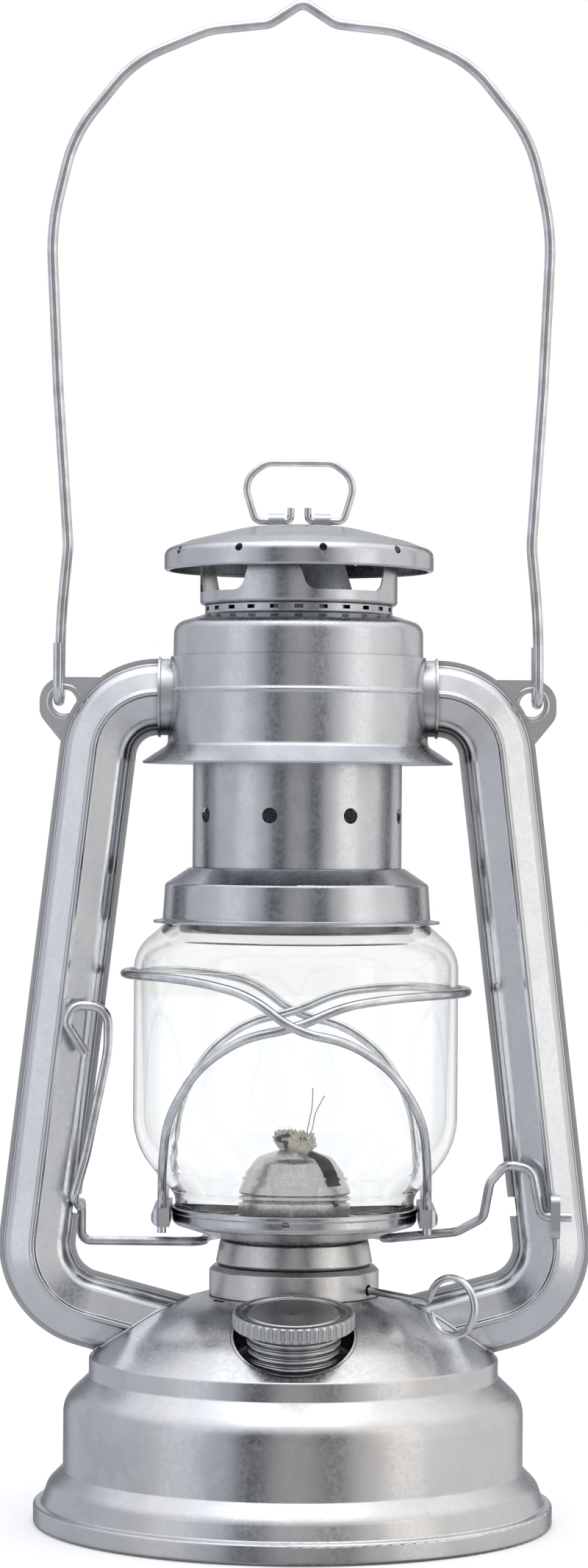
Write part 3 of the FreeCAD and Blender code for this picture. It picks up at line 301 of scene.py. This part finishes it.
def spangle_flakes(tree):
    """The zinc's crystals: warped cells, each with its own grey."""
    where = node(tree, "ShaderNodeTexCoord")
    cells = node(tree, "ShaderNodeTexVoronoi", {"feature": "F1"}, Scale=SPANGLE_SCALE)
    warp = node(tree, "ShaderNodeMix", {"data_type": "VECTOR"})
    shift = node(tree, "ShaderNodeTexNoise", Scale=SPANGLE_WARP_SCALE, Detail=3)
    warp.inputs[0].default_value = 0.015
    tree.links.new(where.outputs["Object"], warp.inputs[4])
    tree.links.new(shift.outputs["Color"], warp.inputs[5])
    tree.links.new(where.outputs["Object"], shift.inputs["Vector"])
    tree.links.new(warp.outputs[1], cells.inputs["Vector"])
    grey = node(tree, "ShaderNodeSeparateColor")
    tree.links.new(cells.outputs["Color"], grey.inputs[0])
    return grey.outputs[0]


def sheet_metal(name, tone, warm, roughness, wave, crease_shade_and_grime_strength, shade):
    """Galvanised or tinned sheet: spangle, cloudy tints and soft waves, with grime and painted
    shade in the corners as strong as the crease strength argument says, and painted shade on
    enclosed sides as dark as shade says."""
    material, tree, shader = blank_material(name)
    shader.inputs["Metallic"].default_value = 1.0
    flake = spangle_flakes(tree)
    cloud = grain(tree, CLOUD_SCALE, 5, (1, 1, 0.55))
    fine = grain(tree, FINE_SCALE, 3)
    bands = grain(tree, BAND_SCALE, 3, (1, 1, 0.35))
    colour = blend_colour(tree, spread(tree, cloud, 0.32, 0.68, 0, 1), darker(tone, 0.80), tone)
    colour = blend_colour(tree, spread(tree, flake, 0, 1, 0, 0.16), colour, SPANGLE_COLOUR)
    colour = blend_colour(tree, spread(tree, bands, 0.5, 0.72, 0, 0.55), colour, warm)
    # painted shade with a little grime: ambient occlusion darkens creases and corners, where shade
    # falls, towards a near-black
    crease = node(tree, "ShaderNodeAmbientOcclusion", {"samples": 8}, Distance=CREASE_REACH)
    crease_shade_and_grime_mask = spread(tree, crease.outputs["AO"], 0.05, 0.80, crease_shade_and_grime_strength, 0.0)
    colour = blend_colour(tree, crease_shade_and_grime_mask, colour, CREASE_SHADE_AND_GRIME)
    # painted shade: ambient occlusion over 30 mm darkens enclosed sides, such as the insides of
    # the hood and the cap, as if in their shadow
    inside = node(tree, "ShaderNodeAmbientOcclusion", {"samples": 6}, Distance=INSIDE_REACH)
    painted_inside_shade_mask = spread(tree, inside.outputs["AO"], 0.12, 0.52, shade, 0.0)
    colour = blend_colour(tree, painted_inside_shade_mask, colour, INSIDE_PAINTED_SHADE)
    tree.links.new(colour, shader.inputs["Base Color"])
    gloss = spread(tree, cloud, 0.3, 0.7, roughness - GLOSS_CHANGE, roughness + GLOSS_CHANGE)
    speck = spread(tree, fine, 0.35, 0.65, -0.05, 0.05)
    total = node(tree, "ShaderNodeMath", {"operation": "ADD"})
    tree.links.new(gloss, total.inputs[0])
    tree.links.new(speck, total.inputs[1])
    tree.links.new(total.outputs[0], shader.inputs["Roughness"])
    normal = add_bump(tree, grain(tree, DENT_SCALE, 2, (1, 1, 0.6)), wave, 0.8 * MM)
    normal = add_bump(tree, flake, 0.03, 0.15 * MM, normal)
    normal = add_bump(tree, fine, 0.05, 0.05 * MM, normal)
    tree.links.new(normal, shader.inputs["Normal"])
    return material


def drawn_wire(name, tone, roughness):
    """Zinc coated wire: small pits and darker, rougher patches."""
    material, tree, shader = blank_material(name)
    shader.inputs["Metallic"].default_value = 1.0
    patch = grain(tree, 160, 4)
    pits = grain(tree, 2200, 2)
    colour = blend_colour(tree, spread(tree, patch, 0.35, 0.62, 0, 1), darker(tone, 0.74), tone)
    colour = blend_colour(tree, spread(tree, pits, 0.62, 0.78, 0, 0.4), colour, WIRE_PITS)
    tree.links.new(colour, shader.inputs["Base Color"])
    gloss = spread(tree, patch, 0.3, 0.7, roughness + 0.08, roughness - 0.06)
    tree.links.new(gloss, shader.inputs["Roughness"])
    normal = add_bump(tree, patch, 0.2, 0.2 * MM)
    normal = add_bump(tree, pits, 0.25, 0.05 * MM, normal)
    tree.links.new(normal, shader.inputs["Normal"])
    return material


def clear_glass(name):
    """Blown glass with faint waves and a trace of dust."""
    material, tree, shader = blank_material(name)
    shader.inputs["Transmission Weight"].default_value = 1.0
    shader.inputs["IOR"].default_value = GLASS_IOR
    tint = blend_colour(tree, spread(tree, grain(tree, 18, 2), 0.3, 0.7, 0, 1),
                        (0.962, 0.968, 0.966), (0.974, 0.978, 0.975))
    tree.links.new(tint, shader.inputs["Base Color"])
    dust = spread(tree, grain(tree, 60, 4), 0.4, 0.8, 0.0, 0.03)
    tree.links.new(dust, shader.inputs["Roughness"])
    normal = add_bump(tree, grain(tree, 30, 1, (1, 1, 0.4)), 0.08, 0.6 * MM)
    tree.links.new(normal, shader.inputs["Normal"])
    return material


def cotton(name, tone, weave):
    """Cotton: a fine rib as deep as weave says, uneven yarn and a soft sheen."""
    material, tree, shader = blank_material(name)
    shader.inputs["Roughness"].default_value = 0.92
    shader.inputs["Sheen Weight"].default_value = 0.4
    shader.inputs["Sheen Roughness"].default_value = 0.5
    fibre = grain(tree, 900, 5, (1, 1, 0.3))
    soil = spread(tree, grain(tree, 160, 3), 0.45, 0.7, 0, 0.4)
    colour = blend_colour(tree, spread(tree, fibre, 0.3, 0.7, 0, 1), darker(tone, 0.80), tone)
    colour = blend_colour(tree, soil, colour, darker(tone, 0.85))
    tree.links.new(colour, shader.inputs["Base Color"])
    where = node(tree, "ShaderNodeTexCoord")
    rib = node(tree, "ShaderNodeTexWave", {"bands_direction": "Z"}, Scale=520, Distortion=2.0)
    tree.links.new(where.outputs["Object"], rib.inputs["Vector"])
    normal = add_bump(tree, rib.outputs["Fac"], 0.5 * weave, 0.25 * MM)
    normal = add_bump(tree, fibre, 0.6, 0.3 * MM, normal)
    tree.links.new(normal, shader.inputs["Normal"])
    return material


def dark_fibre(name):
    """A pressed fibre washer."""
    material, tree, shader = blank_material(name)
    shader.inputs["Roughness"].default_value = 0.8
    colour = blend_colour(tree, grain(tree, 700, 4), (0.05, 0.045, 0.04), (0.12, 0.10, 0.08))
    tree.links.new(colour, shader.inputs["Base Color"])
    normal = add_bump(tree, grain(tree, 900, 3), 0.5, 0.2 * MM)
    tree.links.new(normal, shader.inputs["Normal"])
    return material


# ---------------------------------------------------------------- pieces

WICK_AZIMUTH = math.radians(50)
WICK_WAY = Vector((math.sin(WICK_AZIMUTH), -math.cos(WICK_AZIMUTH), 0))
WICK_FACE = Vector((math.cos(WICK_AZIMUTH), math.sin(WICK_AZIMUTH), 0))
WICK_HALF = 7.0 * MM
WICK_HALF_THICK = 0.8 * MM
WICK_RIB = 0.22 * MM
WICK_SHOWN = 8.0 * MM
WICK_LOOSE = 4.2 * MM
WICK_GATHER = 0.52
WICK_TOP_DROP = 1.3 * MM
WICK_SIDES = 120
WICK_ROWS = 110
WICK_STRANDS = 230
# loose threads: sway, reach and bend in millimetres
LOOSE_THREADS = ((1.8, 14.2, -0.5), (4.2, 12.2, 0.9))
LOOSE_YARN = 0.13 * MM
# the tracer's route: share of the wick's half width, millimetres under its top
TRACER_ROUTE = ((-0.15, -0.3), (-0.45, 0.1), (-0.85, 0.8), (-0.60, 1.4), (-0.25, 1.7),
                (-0.45, 2.6), (-0.30, 3.4))
TRACER_YARN = 0.50 * MM

# the globe's seat: its radius, then a profile of millimetres out and up from the hood's foot
SEAT_RADIUS = 30.3 * MM
SEAT_PROFILE = ((0, 8.0), (0, -2.0), (-0.4, -2.7), (-1.1, -3.1), (-1.6, -2.7), (-1.4, -2.0),
                (-0.7, 8.0))
SEAT_SIDES = 96

SPRING_WIRE = 0.8 * MM
SPRING_TURNS = 4.1
SPRING_STEPS_A_TURN = 24

SOLDER_REACH = 0.12 * MM
SOLDER_BEAD = 0.55 * MM
SOLDER_STEPS = 64
TUBE_FOOT_OUT, TUBE_FOOT_UP = 0.93, -0.37


def shade_smooth(mesh):
    """Smooth shading on every face."""
    for face in mesh.polygons:
        face.use_smooth = True
    return mesh


def smooth_mesh(name, verts, faces):
    """A smooth mesh from its corners and faces."""
    mesh = bpy.data.meshes.new(name)
    mesh.from_pydata(verts, [], faces)
    return shade_smooth(mesh)


def add_piece(name, data, material):
    """A mesh or curve as a piece with its material."""
    piece = add_object(name, data)
    data.materials.clear()
    data.materials.append(material)
    return piece


def round_curve(name, thickness, rings, steps):
    """An empty curve that gives its splines a round section."""
    curve = bpy.data.curves.new(name, "CURVE")
    curve.dimensions = "3D"
    curve.bevel_depth = thickness
    curve.bevel_resolution = rings
    curve.resolution_u = steps
    return curve


def add_spline(curve, kind, points):
    """A spline through or along some points."""
    spline = curve.splines.new(kind)
    spline.points.add(len(points) - 1)
    for place, point in zip(spline.points, points):
        place.co = (*point, 1)
    if kind == "NURBS":
        spline.order_u = 3
    return spline


def add_threads(name, strands, material):
    """Thin round threads on the wick: strands is a list of (points, radius)."""
    curve = round_curve(name, 1.0, 2, 4)
    for points, radius in strands:
        spline = add_spline(curve, "NURBS", points)
        spline.use_endpoint_u = True
        for place in spline.points:
            place.radius = radius
    piece = add_piece(name, curve, material)
    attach(piece, "wick")


def squared(value, power):
    """A value of -1 to 1 pushed out towards its ends, which makes a circle's section squarer."""
    return math.copysign(abs(value) ** power, value)


def wick_spot(share, z, depth, top):
    """A place on the flat wick: it is gathered where it leaves the burner and opens to the top."""
    above = (z - (top - WICK_SHOWN)) / WICK_SHOWN
    rise = min(1.0, max(0.0, (z - (top - WICK_LOOSE)) / WICK_LOOSE))
    gathered = math.sin(math.pi * min(1.0, max(0.0, above * 0.6 + 0.40))) ** 2
    fan = 1 - WICK_GATHER * gathered - 0.28 * rise ** 3
    ripple = WICK_RIB * math.sin(share * 22 + 2.5 * rise) * rise
    curl = (1.0 * MM * share ** 2 - 0.4 * MM) * rise ** 2 - 0.9 * MM * math.sin(share * 3.1) * rise
    spot = WICK_WAY * (share * WICK_HALF * fan)
    spot += WICK_FACE * (depth * WICK_HALF_THICK + ripple * (1 if depth < 0 else -1) - curl)
    spot.x += (0.2 + 0.5 * share) * MM * rise
    spot.z = z - rise * MM * 0.9 * (share + 0.25) ** 2
    return spot


def wick_tape(rng, foot, top):
    """The tape's mesh: a closed ribbed section swept up the wick, with a ragged last row."""
    verts = []
    faces = []
    rows = []
    for step in range(WICK_ROWS + 1):
        z = foot + (top - foot) * step / WICK_ROWS
        row = []
        for side in range(WICK_SIDES):
            turn = 2 * math.pi * side / WICK_SIDES
            drop = rng.uniform(-0.6, 0.5) * MM if step == WICK_ROWS else 0
            row.append(len(verts))
            verts.append(wick_spot(squared(math.cos(turn), 0.8), z + drop,
                                   squared(math.sin(turn), 0.35), top))
        rows.append(row)
    for lower, upper in zip(rows, rows[1:]):
        for index in range(WICK_SIDES):
            after = (index + 1) % WICK_SIDES
            faces.append((lower[index], lower[after], upper[after], upper[index]))
    faces.append(tuple(reversed(rows[0])))
    faces.append(tuple(rows[-1]))
    return smooth_mesh("wick_tape", verts, faces)


def wick_strands(rng, top):
    """The frayed top's short strands, each leaning out from its place on the tape."""
    strands = []
    for _ in range(WICK_STRANDS):
        share = rng.uniform(-1, 1)
        depth = rng.choice((-1, 1)) * rng.uniform(0.3, 1.05)
        start = top - rng.uniform(1.0, 3.4) * MM
        reach = top + rng.uniform(-1.2, 1.9) * MM - start
        lean = (share * rng.uniform(0.0, 0.9) + rng.uniform(-0.5, 0.5)) * MM
        tip = rng.uniform(-0.7, 0.7) * MM
        points = []
        for part in (0, 0.35, 0.7, 1.0):
            spot = wick_spot(share, start + reach * part, depth, top)
            spot += WICK_WAY * (lean * part ** 2) + WICK_FACE * (tip * part ** 2)
            points.append(spot)
        strands.append((points, rng.uniform(0.13, 0.24) * MM))
    return strands


def loose_thread(foot, sway, reach, bend):
    """One long thread that stands up from the wick and wavers."""
    points = []
    for part in (0, 0.2, 0.4, 0.6, 0.8, 1.0):
        spot = foot.copy()
        spot.x += (sway * part + bend * math.sin(part * 7.5) * 0.5) * MM
        spot.z += reach * MM * part
        points.append(spot)
    return points, LOOSE_YARN


def make_wick(material, tracer_material, thread_material):
    """The flat wick: a ribbed tape with a frayed top, a dark tracer and two loose threads."""
    low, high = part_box("wick")
    top = high[2] - WICK_TOP_DROP
    rng = random.Random(11)
    tape = add_piece("wick_tape", wick_tape(rng, low[2], top), material)
    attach(tape, "wick")
    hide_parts("wick")
    add_threads("wick_fray", wick_strands(rng, top), material)
    foot = wick_spot(0.55, top - 1.0 * MM, -0.9, top)
    add_threads("wick_loose_threads", [loose_thread(foot, *shape) for shape in LOOSE_THREADS],
                thread_material)
    route = [wick_spot(share, top - drop * MM, -1.25, top) for share, drop in TRACER_ROUTE]
    add_threads("wick_tracer", [(route, TRACER_YARN)], tracer_material)


def make_globe_seat(material):
    """The lip under the hood that stands inside the globe's mouth, seen through the glass; it is
    given a dark finish that paints the shade under the hood.
    """
    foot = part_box("chimney_hood")[0][2]
    count = len(SEAT_PROFILE)
    verts = []
    faces = []
    for step in range(SEAT_SIDES):
        turn = 2 * math.pi * step / SEAT_SIDES
        for out, up in SEAT_PROFILE:
            reach = SEAT_RADIUS + out * MM
            verts.append((reach * math.cos(turn), reach * math.sin(turn), foot + up * MM))
        after = (step + 1) % SEAT_SIDES
        for index in range(count):
            other = (index + 1) % count
            faces.append((step * count + index, after * count + index,
                          after * count + other, step * count + other))
    seat = add_piece("globe_seat", smooth_mesh("globe_seat", verts, faces),
                     material)
    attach(seat, "chimney")


def coil_part(name, points):
    """A length of the spring's round wire along some points, as a mesh."""
    curve = round_curve(name + "_line", SPRING_WIRE, 4, 12)
    add_spline(curve, "POLY", points)
    line = add_object(name + "_line", curve)
    bpy.context.view_layer.update()
    mesh = bpy.data.meshes.new_from_object(line.evaluated_get(
        bpy.context.evaluated_depsgraph_get()))
    bpy.data.objects.remove(line)
    return shade_smooth(mesh)


def make_spring(material):
    """The chimney's coil spring, made as two lengths of wire: a lower part and an upper part."""
    low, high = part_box("chimney_spring")
    coil = high[0] - SPRING_WIRE
    foot = low[2] + SPRING_WIRE
    rise = high[2] - low[2] - 2 * SPRING_WIRE
    steps = int(SPRING_TURNS * SPRING_STEPS_A_TURN)
    points = []
    for step in range(steps + 1):
        turn = 2 * math.pi * SPRING_TURNS * step / steps
        points.append(Vector((coil * math.cos(turn), coil * math.sin(turn),
                              foot + rise * step / steps)))
    split = steps // 2
    middle = points[split].z
    for name, part, moves, fixed, start, end in (
            ("spring_coil_low", points[:split + 1], "chimney", "globe_carrier", low[2], middle),
            ("spring_coil_top", points[split:], "globe_carrier", "lantern_body", middle, high[2])):
        piece = add_piece(name, coil_part(name, part), material)
        if name == "spring_coil_low":
            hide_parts("chimney_spring")
        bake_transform(piece)


def world_corners(name):
    """A CAD node's corners in the frame."""
    return [NODES[name].matrix_world @ vertex.co for vertex in NODES[name].data.vertices]


def solder_loop(tank, halves, side):
    """The line where a side tube's shells meet the tank, walked once round the tube."""
    close = []
    for name in halves:
        for spot in world_corners(name):
            if tank.find_nearest(spot, SOLDER_REACH)[0] is not None and spot.x * side > 0:
                close.append(spot)
    middle = sum(close, Vector()) / len(close)
    along = Vector((TUBE_FOOT_OUT * side, 0, TUBE_FOOT_UP)).normalized()
    up = along.cross(Vector((0, 1, 0))).normalized()
    outermost = {}
    for spot in close:
        arm = spot - middle
        turn = math.atan2(arm.dot(up), arm.y)
        place = int((turn + math.pi) / (2 * math.pi) * SOLDER_STEPS) % SOLDER_STEPS
        reach = math.hypot(arm.dot(up), arm.y)
        if place not in outermost or reach > outermost[place][0]:
            outermost[place] = (reach, spot)
    return [outermost[place][1] for place in sorted(outermost)]


def make_solder(material):
    """An uneven bead of solder round each side tube's foot."""
    tank = BVHTree.FromPolygons(
        world_corners("tank_shell"),
        [tuple(face.vertices) for face in NODES["tank_shell"].data.polygons])
    rng = random.Random(5)
    for side, name in ((1, "right"), (-1, "left")):
        loop = solder_loop(tank, (name + "_tube_front", name + "_tube_back"), side)
        curve = round_curve("solder_" + name, SOLDER_BEAD, 3, 3)
        spline = add_spline(curve, "NURBS", loop)
        spline.use_cyclic_u = True
        for place in spline.points:
            place.radius = rng.uniform(0.7, 1.35)
        bead = add_piece("solder_" + name, curve, material)
        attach(bead, "lantern_body")


# ---------------------------------------------------------------- the scene

# the crease strength in each finish sets how much painted shade and grime darken its creases;
# shade sets the painted shade on its enclosed sides
MATERIALS = {
    "galvanised_sheet": sheet_metal("galvanised_sheet", (0.655, 0.67, 0.70), (0.62, 0.56, 0.50),
                                    0.25, wave=0.18, crease_shade_and_grime_strength=0.88, shade=0.85),
    "pressed_tube": sheet_metal("pressed_tube", (0.74, 0.755, 0.785), (0.66, 0.61, 0.56),
                                0.19, wave=0.35, crease_shade_and_grime_strength=0.97, shade=0.85),
    "burner_sheet": sheet_metal("burner_sheet", (0.70, 0.69, 0.68), (0.55, 0.46, 0.38),
                                0.32, wave=0.25, crease_shade_and_grime_strength=0.2, shade=0.0),
    "zinc_cap": sheet_metal("zinc_cap", (0.62, 0.63, 0.65), (0.50, 0.48, 0.46),
                            0.25, wave=0.12, crease_shade_and_grime_strength=0.7, shade=0.3),
    "galvanised_wire": drawn_wire("galvanised_wire", (0.80, 0.81, 0.83), 0.20),
    "spring_wire": drawn_wire("spring_wire", (0.24, 0.24, 0.25), 0.30),
    "clear_glass": clear_glass("clear_glass"),
    "cotton_wick": cotton("cotton_wick", (1.0, 0.94, 0.82), 1.0),
    "seal_fibre": dark_fibre("seal_fibre"),
}
PRESSED_PARTS = ("_tube_front", "_tube_back", "bail_ear")


def dress_nodes():
    """Give every CAD node the material of its own slot; the pressed tubes get their own finish."""
    for entry in frame["record"]["subparts"]:
        item = NODES[entry["node"]]
        pressed = any(part in entry["node"] for part in PRESSED_PARTS)
        finish = "pressed_tube" if pressed else entry["material_slot"]
        item.data.materials.clear()
        item.data.materials.append(MATERIALS[finish])


bpy.context.scene.view_settings.view_transform = "Standard"
make_camera()
make_light()
make_floor()
dress_nodes()
make_wick(MATERIALS["cotton_wick"], cotton("tracer_yarn", (0.05, 0.05, 0.06), 0.3),
          cotton("loose_yarn", (0.42, 0.38, 0.33), 0.3))
make_spring(MATERIALS["spring_wire"])
# painted shade: the seat takes the dark spring wire finish to stand for the shadow under the hood
make_globe_seat(MATERIALS["spring_wire"])
make_solder(MATERIALS["galvanised_sheet"])
